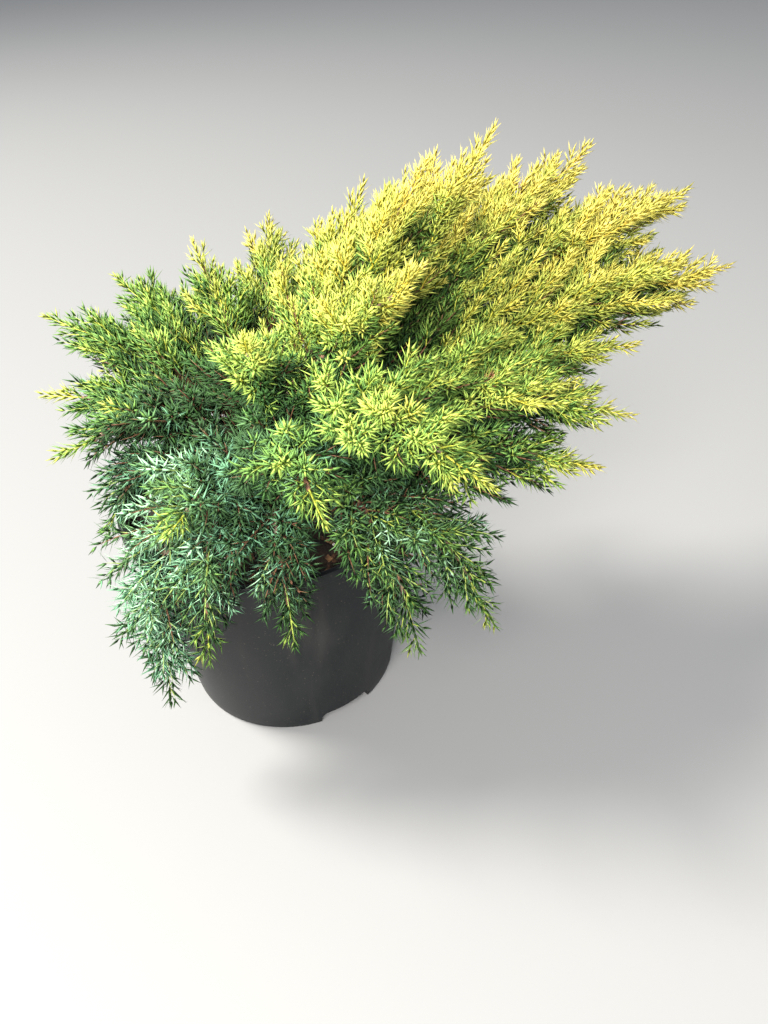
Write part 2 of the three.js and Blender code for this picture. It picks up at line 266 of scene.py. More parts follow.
def dullPaint(name, color):
    paint = Paint(name, color, 0.65)
    paint.put("Specular IOR Level", dullSpecular)
    return paint.material


def needlePaints():
    made = []
    for i in range(lastTone + 1):
        made += [dullPaint(f"needle_{kind}_{i}", leafColors[kind][i]) for kind in needleKinds]
    made.append(dullPaint("needle_dead", leafColors["deadNeedle"]))
    return made


def shootPaints():
    made = [Paint(f"shoot_{i}", color, 0.5).material for i, color in enumerate(leafColors["shoot"])]
    made.append(Paint("shoot_brown", leafColors["brownShoot"], 0.8).material)
    return made


# The boughs, by the same driving values as the solids: heading in degrees, reach, height of the
# tip, share of the reach and height where the bough bends, height of its foot, and gold share.
boughs = [
    ("crown_leader", 6, 178, 440, 0.42, 330, 78, 0.95),
    ("crown_front", -2, 134, 430, 0.4, 330, 70, 0.9),
    ("crown_back", 33, 112, 402, 0.4, 320, 74, 0.9),
    ("crown_left", 117, 93, 360, 0.4, 310, 78, 0.65),
    ("crown_right", -33, 150, 392, 0.42, 330, 66, 0.8),
    ("right_back_upper", 24, 288, 398, 0.42, 325, 64, 0.95),
    ("right_back_far", 17, 352, 366, 0.45, 330, 48, 0.95),
    ("right_far", 7, 355, 328, 0.45, 325, 56, 0.9),
    ("right_long", -3, 276, 300, 0.45, 305, 36, 0.7),
    ("right_front_upper", -16, 268, 276, 0.5, 326, 50, 0.5),
    ("right_front_low", -24, 254, 258, 0.5, 288, 28, 0.4),
    ("front_right", -50, 235, 300, 0.5, 352, 48, 0.4),
    ("low_right", -38, 203, 142, 0.75, 300, 10, 0.15),
    ("low_front_right", -51, 172, 132, 0.82, 312, 18, 0.15),
    ("low_front", -80, 148, 158, 0.85, 300, 10, 0.1),
    ("low_front_left", -102, 150, 148, 0.85, 306, 16, 0.05),
    ("front_centre", -72, 192, 282, 0.5, 326, 38, 0.1),
    ("front_left", -101, 174, 268, 0.55, 296, 24, 0.0),
    ("front_upper", -80, 115, 368, 0.45, 325, 62, 0.4),
    ("low_left", -120, 147, 84, 0.9, 315, 22, 0.0),
    ("left_low", -143, 125, 198, 0.8, 322, 12, 0.0),
    ("left_front", -150, 144, 258, 0.5, 322, 44, 0.3),
    ("left", -173, 150, 278, 0.5, 306, 32, 0.35),
    ("left_back", 160, 172, 308, 0.5, 315, 50, 0.5),
    ("back_left", 133, 182, 308, 0.5, 315, 34, 0.65),
    ("back", 86, 152, 348, 0.5, 325, 56, 0.8),
    ("back_low", 106, 208, 226, 0.6, 285, 16, 0.35),
    ("back_right", 42, 232, 262, 0.5, 300, 26, 0.6),
]
stem = {
    "height": 82 * mm,
    "radii": (11.5 * mm, 6 * mm),
    "flareRadius": 15 * mm,
    "flareFade": 8 * mm,
    "lean": radians(9),
    "heading": radians(10),
}
limb = {
    "radii": (4.2 * mm, 2.4 * mm),
    "share": 0.3,
    "shortest": 42 * mm,
    "longest": 80 * mm,
    "hangingSpread": 0.75,
    "fullSpreadHeight": 250,
    "lift": 0.22,
    "crownLift": 0.5,
    "crownFrom": 310,
    "crownSpan": 100,
    "linePoints": 201,
}

rimRadius, _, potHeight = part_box("pot")[1]
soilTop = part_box("potting_mix")[1].z
stemFoot = rows([0, 0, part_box("stem")[0].z])
up = rows([0, 0, 1])
nearUp = up + 0.01  # for shoots, which may stand straight up


class Line:
    # A smooth line through many points, read by the share of its length.

    def __init__(self, points):
        steps = np.linalg.norm(np.diff(points, axis=0), axis=1)
        reached = np.concatenate([[0], np.cumsum(steps)])
        self.points = points
        self.length = reached[-1]
        self.shares = reached / reached[-1]

    def at(self, share):
        columns = [np.interp(share, self.shares, self.points[:, k]) for k in range(3)]
        return np.stack(columns, axis=-1)

    def way(self, share, step=0.01):
        return unit(self.at(np.minimum(share + step, 1)) - self.at(np.maximum(share - step, 0)))

    def part(self, start, end, count=40):
        return Line(self.at(np.linspace(start, end, count)))


def stemPoint(height):
    lean = rows([cos(stem["heading"]), sin(stem["heading"]), 0]) * tan(stem["lean"])
    return stemFoot + (up + lean) * height


class Bough:
    # One bough and the leader of its foliage, on one line from the stem to the furthest tip.

    def __init__(self, name, heading, reach, height, out, aim, foot, gold):
        self.name = name
        self.gold = gold
        turned = radians(heading)
        outwards = rows([cos(turned), sin(turned), 0]) * reach * mm
        t = np.linspace(0, 1, limb["linePoints"])[:, None]
        foot = stemPoint(foot * mm)
        bend = outwards * out + up * aim * mm
        tip = outwards + up * height * mm
        self.line = Line((1 - t) ** 2 * foot + 2 * t * (1 - t) * bend + t**2 * tip)
        limbLength = min(max(limb["share"] * self.line.length, limb["shortest"]), limb["longest"])
        end = limbLength / self.line.length
        self.limb = self.line.part(0, end)
        self.leader = self.line.part(end, 1)
        self.end = end
        least = limb["hangingSpread"]
        self.spread = min(1, least + (1 - least) * height / limb["fullSpreadHeight"])
        crownShare = max(0, (height - limb["crownFrom"]) / limb["crownSpan"])
        self.lift = limb["lift"] + limb["crownLift"] * crownShare


plant = [Bough(*values) for values in boughs]
leaders = [bough.leader for bough in plant]
goldShares = rows([bough.gold for bough in plant])


# The space that each mass may fill: nearer to its own leader than to any other, and off the pot.
space = {
    "potClear": 4 * mm,
    "insideRim": 12 * mm,
    "groundClear": 12 * mm,
    "overlap": 10 * mm,
    "parts": 8,
}


def distanceToLines(points, lines):
    # One column for each line, which counts as a few straight parts.
    nearest = []
    for line in lines:
        marks = line.at(np.linspace(0, 1, space["parts"] + 1))
        starts, spans = marks[:-1], np.diff(marks, axis=0)
        offsets = points[:, None, :] - starts[None]
        shares = np.clip((offsets * spans).sum(-1) / (spans * spans).sum(-1), 0, 1)
        gaps = offsets - shares[..., None] * spans
        nearest.append(np.sqrt((gaps * gaps).sum(-1)).min(1))
    return np.stack(nearest, axis=1)


def clearOfPot(points):
    radius = np.hypot(points[:, 0], points[:, 1])
    height = points[:, 2]
    outside = radius > rimRadius + space["potClear"]
    overRim = height > potHeight + space["potClear"]
    overSoil = (height > soilTop + space["potClear"]) & (radius < rimRadius - space["insideRim"])
    return (overRim | outside | overSoil) & (height > space["groundClear"])


def inOwnSpace(points, owners):
    gaps = distanceToLines(points, leaders)
    mine = (np.arange(len(points)), owners)
    own = gaps[mine]
    gaps[mine] = np.inf
    return clearOfPot(points) & (own < gaps.min(1) + space["overlap"])


# Twigs by the solids' own rule. Lengths in this dictionary are in millimetres.
rule = {
    "lastTwig": 44,
    "turn": 137.5,
    "turnJitter": 40,
    "lean": (50, 32),
    "leanJitter": 14,
    "base": 7,
    "reach": 0.48,
    "reachJitter": 0.2,
    "longest": 92,
    "rise": 0.12,
    "upwardLoss": 0.3,
    "leastGap": 0.75,
    "gapJitter": 0.5,
}


def seededRandom(seed):
    # The solids' own generator, whose next state follows from the last one.
    multiplier, increment, modulus = 1664525, 1013904223, 2**32
    state = seed
    while True:
        state = (state * multiplier + increment) % modulus
        yield state / modulus


def squareTo(axis, above):
    side = unit(np.cross(axis, above))
    return side, np.cross(side, axis)


def swung(first, second, angle):
    # The first way, swung by an angle towards the second.
    return first * np.cos(angle)[..., None] + second * np.sin(angle)[..., None]


def leaning(axis, lean, turn):
    side, top = squareTo(axis, up)
    return swung(axis, swung(side, top, turn), lean)


def twigsOf(bough, seed, run):
    random = seededRandom(seed)
    size = run["size"] * bough.spread
    length = bough.leader.length / mm
    along = run["first"]
    found = []
    while along < length - rule["lastTwig"]:
        share = along / length
        turn = radians(len(found) * rule["turn"] + (next(random) - 0.5) * rule["turnJitter"])
        lean = blend(rule["lean"], share) + (next(random) - 0.5) * rule["leanJitter"]
        reach = (rule["reach"] + rule["reachJitter"] * next(random)) * (length - along)
        place = bough.end + (1 - bough.end) * share
        axis = bough.line.way(place)
        way = unit(leaning(axis, rows(radians(lean)), rows(turn)) + up * rule["rise"])
        held = 1 - rule["upwardLoss"] * max(0, sin(turn))
        reach = min(reach + rule["base"], rule["longest"]) * held * size * mm
        found.append((bough.line.at(place), way, reach, share, axis))
        along += run["spacing"] * (rule["leastGap"] + rule["gapJitter"] * next(random))
    return found


class Shoots:
    # Many shoots as arrays. Each runs from its root along a way that bends to an end way.

    names = "root way endWay length radius tone prickly owner bare dead deep".split()

    def __init__(self, **arrays):
        none = np.zeros(len(arrays["length"]), bool)
        for name in self.names:
            setattr(self, name, np.asarray(arrays.get(name, none)))

    def count(self):
        return len(self.length)

    def pick(self, chosen):
        return Shoots(**{name: getattr(self, name)[chosen] for name in self.names})

    def point(self, t):
        bend = self.way * t[:, None] + (self.endWay - self.way) * (t * t / 2)[:, None]
        return self.root + bend * self.length[:, None]

    def heading(self, t):
        return unit(self.way + (self.endWay - self.way) * t[:, None])


def joined(batches):
    return Shoots(**{name: np.concatenate([getattr(b, name) for b in batches]) for name in Shoots.names})


# Foliage is most golden at the top and on the side that leans out. The greenest is prickliest.
tint = {
    "bough": 0.5,
    "height": 0.5,
    "heightFrom": 0.165,
    "heightSpan": 0.28,
    "side": 0.6,
    "range": 5.3,
    "twigJitter": 0.4,
    "shootJitter": 0.25,
    "towardsTip": 1.2,
    "alongShoot": 1.2,
    "alongFrom": 0.6,
    "needleJitter": 0.16,
    "alongBough": 2.2,
    "twigPlace": 0.6,
    "prickly": 1.1,
    "pricklySpan": 3.4,
    "pricklyJitter": 0.07,
    "pricklyLoss": 0.1,
}


def toneAt(points, owners):
    height = (points[:, 2] - tint["heightFrom"]) / tint["heightSpan"]
    gold = tint["bough"] * goldShares[owners] + tint["height"] * height
    return (gold + tint["side"] * points[:, 0]) * tint["range"]


def brighterOut(tones, shares):
    # New growth at the far end of a bough is more golden than the rest.
    return tones + tint["alongBough"] * shares**3 * (1 - tones / lastTone)


def pricklyAt(tones):
    jitter = dice.normal(0, tint["pricklyJitter"], len(tones))
    return np.clip(tint["prickly"] - tones / tint["pricklySpan"] + jitter, 0, 1)


dice = np.random.default_rng(523)

# Each pass of twigs runs up to a share of the leader, on boughs in a range of gold. The first pass
# is the solids' own, and the last two fill the golden and the green boughs.
twigPasses = [
    {"seed": 1, "first": 4, "spacing": 10.5, "size": 1.0, "upTo": 1.0, "gold": (0, 1)},
    {"seed": 101, "first": 9, "spacing": 4.6, "size": 0.98, "upTo": 1.0, "gold": (0, 1)},
    {"seed": 201, "first": -30, "spacing": 5.2, "size": 0.72, "upTo": 0.65, "gold": (0.2, 1)},
    {"seed": 301, "first": -26, "spacing": 6.0, "size": 0.62, "upTo": 0.6, "gold": (0, 0.66)},
]
twigShape = {
    "sizes": [0.35, 0.45, 0.55, 0.7, 0.85, 1],
    "testedAt": [0.5, 0.75, 1],
    "outwards": 0.85,
    "needleRoom": 7 * mm,
    "shortest": 10 * mm,
    "radius": 0.5 * mm,
    "radiusShare": 0.007,
    "bareFoot": 0.45,
    "bareFall": 1.5,
    "bareRange": (0.06, 0.35),
    "taper": 0.6,
    "brownFrom": 0.15,
}


def leaderTip(bough):
    # The last stretch of the leader, which no twig leaves, as a twig of its own.
    length = rule["lastTwig"] * mm
    share = 1 - length / bough.leader.length
    way = bough.leader.way(share)
    return bough.leader.at(share), way, length, 1.0, way


def fittingSizes(root, way, endWay, length, owner):
    # The largest size at which each twig keeps to its mass's own space, or 0.
    fits = np.zeros(len(root))
    for size in twigShape["sizes"]:
        good = np.ones(len(root), bool)
        for part in twigShape["testedAt"]:
            bend = way * part + (endWay - way) * part * part / 2
            good &= inOwnSpace(root + bend * (length * size)[:, None], owner)
        fits = np.where(good, size, fits)
    return fits


def arraysOf(found):
    return [np.array(values) for values in zip(*found)]


def leaderTwigs():
    # The twigs that leave each leader, shortened until they fit the mass's own space.
    found = []
    for i, bough in enumerate(plant):
        for run in twigPasses:
            if run["gold"][0] <= bough.gold <= run["gold"][1]:
                twigs = twigsOf(bough, i + run["seed"], run)
                found += [(*twig, i) for twig in twigs if twig[3] < run["upTo"]]
        found.append((*leaderTip(bough), i))
    root, way, length, share, axis, owner = arraysOf(found)
    lift = rows([bough.lift for bough in plant])[owner][:, None]
    endWay = unit(way + axis * twigShape["outwards"] + up * lift)
    length = length * fittingSizes(root, way, endWay, length, owner) - twigShape["needleRoom"]
    tones = toneAt(root + way * (length * tint["twigPlace"])[:, None], owner)
    tones = brighterOut(tones, share)
    # Painted shade: a share of the twigs, larger on the greener boughs and none on the outer part of a
    # leader, takes the darker shade colours, so that they read as shadowed gaps between lit shoots.
    dark = dice.uniform(0, 1, len(found)) < shade["paintedShadeTwigs"] * (1 - goldShares[owner])
    shoots = Shoots(
        root=root,
        way=way,
        endWay=endWay,
        length=length,
        radius=twigShape["radius"] + length * twigShape["radiusShare"],
        tone=tones + dice.normal(0, tint["twigJitter"], len(found)),
        prickly=pricklyAt(tones),
        owner=owner,
        bare=np.clip(twigShape["bareFoot"] - twigShape["bareFall"] * share, *twigShape["bareRange"]),
        deep=dark & (share < shade["paintedShadeTwigsUpTo"]),
    )
    return shoots.pick(length > twigShape["shortest"])


# Side shoots leave their parent by turns on either side, longest near its root, and leave its tip
# bare of side shoots, so that it stands out as a spike.
sideShape = {
    "from": 0.12,
    "to": 0.74,
    "spacing": 7.0 * mm,
    "pricklySpacing": 4.0 * mm,
    "placeJitter": 0.3,
    "lean": (38, 5),
    "turn": 0.3,
    "turnJitter": 0.5,
    "rise": 0.1,
    "outwards": 0.55,
    "lift": 0.16,
    "size": (0.17, 0.4),
    "sizeJitter": (0.7, 1.2),
    "shortest": 7 * mm,
    "radius": 0.62,
    "bare": 0.05,
    "deadShare": 0.0035,
    "deadUpTo": 0.5,
}
fineShape = sideShape | {
    "spacing": 5.6 * mm,
    "size": (0.26, 0.42),
    "shortest": 3.5 * mm,
}
longEnoughForFine = 27 * mm


def numbered(counts):
    # The shoot that bears each thing, by the counts of things, and the thing's number there.
    return np.repeat(np.arange(len(counts)), counts), np.concatenate([np.arange(c) for c in counts])


def sideShoots(parents, shape):
    gap = shape["spacing"] + shape["pricklySpacing"] * parents.prickly
    span = shape["to"] - shape["from"]
    counts = (span * parents.length / gap).round().astype(int)
    source, order = numbered(counts)
    total = len(source)
    held = parents.pick(source)
    jitter = dice.uniform(-shape["placeJitter"], shape["placeJitter"], total)
    share = shape["from"] + span * (order + 0.5 + jitter) / counts[source]
    axis = held.heading(share)
    flip = np.where(order % 2 == 0, shape["turn"], pi - shape["turn"])
    turn = flip + dice.normal(0, shape["turnJitter"], total)
    lean = np.radians(dice.normal(*shape["lean"], total))
    way = unit(leaning(axis, lean, turn) + up * shape["rise"])
    size = blend(shape["size"], 1 - share)
    length = held.length * size * dice.uniform(*shape["sizeJitter"], total)
    drift = tint["towardsTip"] * (share - 0.5)
    tones = held.tone + drift + dice.normal(0, tint["shootJitter"], total)
    dying = (dice.uniform(0, 1, total) < shape["deadShare"]) & (share < shape["deadUpTo"])
    shoots = Shoots(
        root=held.point(share),
        way=way,
        endWay=unit(way + axis * shape["outwards"] + up * shape["lift"]),
        length=length,
        radius=held.radius * shape["radius"],
        tone=tones,
        prickly=np.clip(held.prickly - tint["pricklyLoss"] * drift, 0, 1),
        owner=held.owner,
        bare=np.full(total, shape["bare"]),
        dead=held.dead | dying,
        deep=held.deep,
    )
    return shoots.pick((length > shape["shortest"]) & clearOfPot(shoots.point(np.ones(total))))


leaderRun = {"from": 0.25, "count": 5, "radii": (1.5, 0.6)}  # radii in millimetres


def leaderRuns():
    # The outer stretch of each leader in short joined runs, so that it bears needles too.
    found = []
    for i, bough in enumerate(plant):
        end = 1 - rule["lastTwig"] * mm / bough.leader.length
        marks = np.linspace(leaderRun["from"], end, leaderRun["count"] + 1)
        for start, stop in zip(marks[:-1], marks[1:]):
            root = bough.leader.at(start)
            length = np.linalg.norm(bough.leader.at(stop) - root)
            found.append((root, bough.leader.way(start), bough.leader.way(stop), length, i, stop))
    root, way, endWay, length, owner, share = arraysOf(found)
    tones = brighterOut(toneAt(root, owner), share)
    return Shoots(
        root=root,
        way=way,
        endWay=endWay,
        length=length,
        radius=blend(leaderRun["radii"], share) * mm,
        tone=tones,
        prickly=pricklyAt(tones),
        owner=owner,
    )


# Lengths of foliage in the cells over a shoot, and in those on the side where light comes in.
shade = {
    "cell": 13 * mm,
    "cells": 4,
    "full": 1.1,
    "side": (1, 0.3, 0),
    "sideRise": 30 * mm,
    "sideWeight": 1.7,
    "askew": (0.3, 0.2, 1),
    "tone": 0.4,
    "paintedShadeFrom": 0.6,
    "jitter": 0.12,
    "hollow": 2.5,
    # The share of twigs given painted shade at random, how far out along a leader, and the least cover
    # at which they keep it.
    "paintedShadeTwigs": 0.3,
    "paintedShadeTwigsUpTo": 0.7,
    "paintedShadeTwigsFrom": 0.25,
}

# Painted shade at the front left: foliage round each of these lines counts as more covered, so it turns
# greener and takes the darker shade colours, where the sprays have dark hollows between them.
paintedShadeHollows = [
    {"from": (-16, -46, 312), "to": (4, -150, 268), "radius": 30 * mm},
    {"from": (-24, -20, 272), "to": (-4, -112, 230), "radius": 30 * mm},
    {"from": (-44, -36, 290), "to": (-84, -72, 262), "radius": 22 * mm},
    {"from": (18, -70, 262), "to": (34, -150, 226), "radius": 30 * mm},
]


def paintedShadeShare(points):
    # 1 on the line of a hollow, and 0 from its radius outwards.
    lines = [Line(rows([h["from"], h["to"]]) * mm) for h in paintedShadeHollows]
    radii = rows([h["radius"] for h in paintedShadeHollows])
    return np.clip(1 - distanceToLines(points, lines) / radii, 0, 1).max(1)


def coverTowards(grid, places, ways):
    # The lengths of foliage in a row of cells along each way, three cells wide and three high.
    across = unit(np.cross(ways, rows(shade["askew"])))
    over = np.cross(ways, across)
    cover = np.zeros(len(places))
    for step, a, b in itertools.product(range(1, shade["cells"] + 1), (-1, 0, 1), (-1, 0, 1)):
        cells = (places + ways * step + across * a + over * b).astype(int)
        cover += grid[tuple(cells.T)]
    return cover


def shaded(shoots):
    # Foliage with much foliage round it is greener, and past a limit it takes the darker colours of its
    # tone, as painted shade. The cover counts foliage over a shoot and on the side where light comes in,
    # and the painted-shade hollows add to it.
    middles = shoots.point(np.full(shoots.count(), 0.5))
    room = shade["cells"] + 2
    places = (middles - middles.min(0)) / shade["cell"] + room
    grid = np.zeros((places.max(0) + room + 1).astype(int))
    np.add.at(grid, tuple(places.astype(int).T), shoots.length)
    overhead = coverTowards(grid, places, np.broadcast_to(up, middles.shape))
    sideways = unit(middles * rows(shade["side"]) + up * shade["sideRise"])
    beside = coverTowards(grid, places, sideways) * shade["sideWeight"]
    cover = np.minimum(overhead, beside) / shade["full"] + shade["hollow"] * paintedShadeShare(middles)
    cover = np.clip(cover, 0, 1)
    shoots.tone = shoots.tone * (1 - shade["tone"] * cover)
    cover += dice.normal(0, shade["jitter"], shoots.count())
    # Painted shade: twigs chosen for it keep the shade colours where there is some cover, and all
    # foliage past the limit takes them.
    shoots.deep = (shoots.deep & (cover > shade["paintedShadeTwigsFrom"])) | (cover > shade["paintedShadeFrom"])
    return shoots


# Needles stand in whorls of three, each whorl turned half a step from the last. The first value of
# a pair is for golden foliage and the second for blue-green.
needle = {
    "length": (10.8 * mm, 13.6 * mm),
    "halfWidth": (0.8 * mm, 0.95 * mm),
    "lean": (38, 62),
    "whorlSpacing": (2.8 * mm, 3.8 * mm),
    "widestAt": 0.28,
    "thickness": 0.45 * mm,
    "rootIn": 0.5,
    "curve": 0.06,
    "closing": 16,
    "shorterAtTip": 0.42,
    "turnJitter": 0.14,
    "leanJitter": 6,
    "lengthJitter": 0.12,
    "perWhorl": 3,
    "firstWhorl": 0.7,
}
sliverFaces = np.array([[0, 1, 2], [1, 3, 2], [0, 3, 1], [0, 2, 3]])  # the last two face down


def whorls(shoots):
    # The shoot that bears each whorl, the whorl's number on it and its place along it.
    leafy = shoots.length * (1 - shoots.bare)
    counts = np.maximum((leafy / blend(needle["whorlSpacing"], shoots.prickly)).astype(int), 1)
    source, order = numbered(counts)
    held = shoots.pick(source)
    return held, order, held.bare + (1 - held.bare) * (order + needle["firstWhorl"]) / counts[source]


def needleMesh(shoots):
    # A needle is a slim closed sliver: root, two edges and tip, with a keel below.
    held, order, t = whorls(shoots)
    perWhorl = needle["perWhorl"]
    centre = held.point(t)
    axis = held.heading(t)
    side, top = squareTo(axis, nearUp)
    corners, tones = [], []
    for k in range(perWhorl):
        jitter = dice.normal(0, 1, (4, len(order)))
        turn = 2 * pi / perWhorl * (k + 0.5 * (order % 2)) + needle["turnJitter"] * jitter[0]
        out = swung(side, top, turn)
        lean = blend(needle["lean"], held.prickly) - needle["closing"] * t**2
        way = unit(swung(axis, out, np.radians(lean + needle["leanJitter"] * jitter[1])))
        inner = unit(axis - way * (axis * way).sum(-1, keepdims=True))
        wide = np.cross(way, inner) * blend(needle["halfWidth"], held.prickly)[:, None]
        length = blend(needle["length"], held.prickly) * (1 - needle["shorterAtTip"] * t**3)
        length = (length * (1 + needle["lengthJitter"] * jitter[2]))[:, None]
        foot = centre + out * (held.radius * needle["rootIn"])[:, None]
        base = foot - inner * needle["thickness"]
        tip = base + way * length + inner * (length * needle["curve"])
        middle = foot + way * (length * needle["widestAt"])
        corners.append(np.stack([base, middle + wide, middle - wide, tip], axis=1))
        along = tint["alongShoot"] * (t - tint["alongFrom"])
        tinted = held.tone + along + tint["needleJitter"] * jitter[3]
        tones.append(np.clip(tinted, 0, lastTone).round().astype(int))
    dead, deep, owner = [np.tile(values, perWhorl) for values in (held.dead, held.deep, held.owner)]
    brown = len(needleKinds) * (lastTone + 1)
    # A needle in the painted shade moves one step along its kinds: its upper faces take the lower colour
    # and its lower faces the darker shade colour, as painted shade.
    tones = np.concatenate(tones) * len(needleKinds) + deep
    upper = np.where(dead, brown, tones)
    lower = np.where(dead, brown, tones + 1)
    return np.concatenate(corners), sliverFaces, np.stack([upper, upper, lower, lower], axis=1), owner


def shootMesh(shoots, sides, rings):
    # Every shoot is a tapered prism that ends in a point.
    count = shoots.count()
    corners = []
    for ring in range(rings):
        t = np.full(count, ring / rings)
        centre = shoots.point(t)
        side, top = squareTo(shoots.heading(t), nearUp)
        radius = (shoots.radius * (1 - twigShape["taper"] * ring / rings))[:, None]
        for k in range(sides):
            angle = 2 * pi * k / sides
            corners.append(centre + (side * cos(angle) + top * sin(angle)) * radius)
    tip = len(corners)
    corners.append(shoots.point(np.ones(count)))
    faces = []
    for a, b in bandEdges(rings, sides):
        if a < tip - sides:
            faces += [[a, b + sides, b], [a, a + sides, b + sides]]
        else:
            faces.append([a, tip, b])
    tones = np.clip(shoots.tone, 0, lastTone).round().astype(int)
    # Bare and dead shoots are brown, and so are shoots in the painted shade, as painted shade inside the
    # crown.
    brown = (shoots.bare > twigShape["brownFrom"]) | shoots.dead | shoots.deep
    tones = np.where(brown, lastTone + 1, tones)
    kinds = np.repeat(tones[:, None], len(faces), axis=1)
    return np.stack(corners, axis=1), np.array(faces), kinds, shoots.owner


# A bough belongs to the first of these groups that its name starts with.
groups = ["crown", "right_back", "right_front", "right", "front", "low", "left", "back"]
boughGroups = np.array([[bough.name.startswith(g) for g in groups].index(True) for bough in plant])


def addFoliage(name, batches, paints):
    # One piece for each group of boughs, which replaces their masses. A batch has the corners of
    # each of its shapes, the faces of one of them, the kinds of all faces, and the shapes' boughs.
    for g, group in enumerate(groups):
        corners, faces, kinds, start = [], [], [], 0
        for batchCorners, shapeFaces, batchKinds, owner in batches:
            chosen = boughGroups[owner] == g
            picked = batchCorners[chosen]
            starts = start + np.arange(len(picked)) * picked.shape[1]
            corners.append(picked.reshape(-1, 3))
            faces.append((starts[:, None, None] + shapeFaces).reshape(-1, 3))
            kinds.append(batchKinds[chosen].ravel())
            start += len(corners[-1])
        members = np.flatnonzero(boughGroups == g)
        corners, faces, kinds = [np.concatenate(parts) for parts in (corners, faces, kinds)]
        piece = trianglePiece(f"{name}_{group}", corners, faces, kinds, paints)
        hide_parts(*[f"foliage_{plant[i].name}" for i in members])
        print(piece.name, len(faces), "triangles")
    report(name)


def addAllFoliage():
    twigs = leaderTwigs()
    sides = sideShoots(twigs, sideShape)
    fine = sideShoots(sides.pick(sides.length > longEnoughForFine), fineShape)
    runs = leaderRuns()
    report(f"grown {twigs.count()} twigs, {sides.count()} side shoots and {fine.count()} fine ones")
    shoots = shaded(joined([twigs, runs, sides, fine]))
    report(f"{shoots.deep.mean():.0%} of the shoots are deep")
    addFoliage("needles", [needleMesh(shoots)], needlePaints())
    thickCount = twigs.count() + runs.count()
    thick = shootMesh(shoots.pick(slice(thickCount)), sides=4, rings=4)
    thin = shootMesh(shoots.pick(slice(thickCount, None)), sides=3, rings=2)
    addFoliage("shoots", [thick, thin], shootPaints())


addAllFoliage()


# Stem and boughs with bark
wood = {
    "stemSides": 28,
    "stemRings": 30,
    "limbSides": 12,
    "limbRings": 16,
    "leaderSides": 8,
    "leaderRings": 22,
    "leaderTo": 0.75,
    "stemTop": [0.9, 0.7, 0.35],
    "collar": 0.35,
    "collarFade": 7 * mm,
    "leaderFoot": 0.98,
    "leaderTaper": 0.8,
    "leaderTip": 0.7 * mm,
    "askew": (0.3, 1, 0.1),
}

# Waves round a limb and radians for each metre along it, for strips, thin strips and knots.
relief = {
    "around": (5, 9, 2),
    "along": (60, -95, 140),
    "strips": 0.6,
    "thinShare": 0.6,
    "knots": 0.5,
    "height": 0.07,
}


def barkBulge(angle, reached, phases):
    around, along = relief["around"], relief["along"]
    strips = sin(around[0] * angle + phases[0] + along[0] * reached)
    strips += relief["thinShare"] * sin(around[1] * angle + phases[1] + along[1] * reached)
    knots = sin(around[2] * angle + phases[2]) * sin(along[2] * reached + phases[3])
    return relief["height"] * (relief["strips"] * strips + relief["knots"] * knots)


def barkTube(points, radii, sides, seed):
    # A tapering limb with closed ends.
    ways = unit(np.gradient(points, axis=0))
    side = unit(np.cross(ways[0], rows(wood["askew"])))
    phases = np.random.default_rng(seed).uniform(0, 2 * pi, 4)
    corners, reached = [], 0.0
    for i, (point, way, radius) in enumerate(zip(points, ways, radii)):
        side = unit(side - way * (side * way).sum())
        top = np.cross(way, side)
        if i:
            reached += np.linalg.norm(point - points[i - 1])
        for k in range(sides):
            angle = k * 2 * pi / sides
            wavy = radius * (1 + barkBulge(angle, reached, phases))
            corners.append(point + (side * cos(angle) + top * sin(angle)) * wavy)
    bands = len(points) - 1
    faces = [(a, b, b + sides, a + sides) for a, b in bandEdges(bands, sides)]
    last = bands * sides
    faces.append(tuple(reversed(range(sides))))
    faces.append(tuple(range(last, last + sides)))
    return rows(corners), faces


def stemTube():
    heights = np.linspace(0, stem["height"], wood["stemRings"])
    share = heights / stem["height"]
    flare = (stem["flareRadius"] - stem["radii"][0]) * np.exp(-heights / stem["flareFade"])
    radii = blend(stem["radii"], share) + flare
    radii[-len(wood["stemTop"]) :] *= rows(wood["stemTop"])
    return barkTube(rows([stemPoint(h) for h in heights]), radii, wood["stemSides"], 1)


def limbTube(bough, seed):
    share = np.linspace(0, 1, wood["limbRings"])
    collar = 1 + wood["collar"] * np.exp(-share * bough.limb.length / wood["collarFade"])
    radii = blend(limb["radii"], share) * collar
    return barkTube(bough.limb.at(share), radii, wood["limbSides"], seed)


def leaderTube(bough, seed):
    share = np.linspace(0, wood["leaderTo"], wood["leaderRings"])
    taper = (1 - share) ** wood["leaderTaper"]
    radii = limb["radii"][1] * wood["leaderFoot"] * taper + wood["leaderTip"]
    return barkTube(bough.leader.at(share), radii, wood["leaderSides"], seed)


def addWood():
    tubes = [stemTube()]
    for i, bough in enumerate(plant):
        tubes += [limbTube(bough, i + 2), leaderTube(bough, i + 60)]
    corners, faces, start = [], [], 0
    for tubeCorners, tubeFaces in tubes:
        corners.append(tubeCorners)
        faces += [tuple(v + start for v in face) for face in tubeFaces]
        start += len(tubeCorners)
    piece = gridPiece("bark", np.concatenate(corners), faces, [flakyBark()])
    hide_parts("stem", *[f"bough_{bough.name}" for bough in plant])
    report(f"bark, {len(faces)} faces")


addWood()


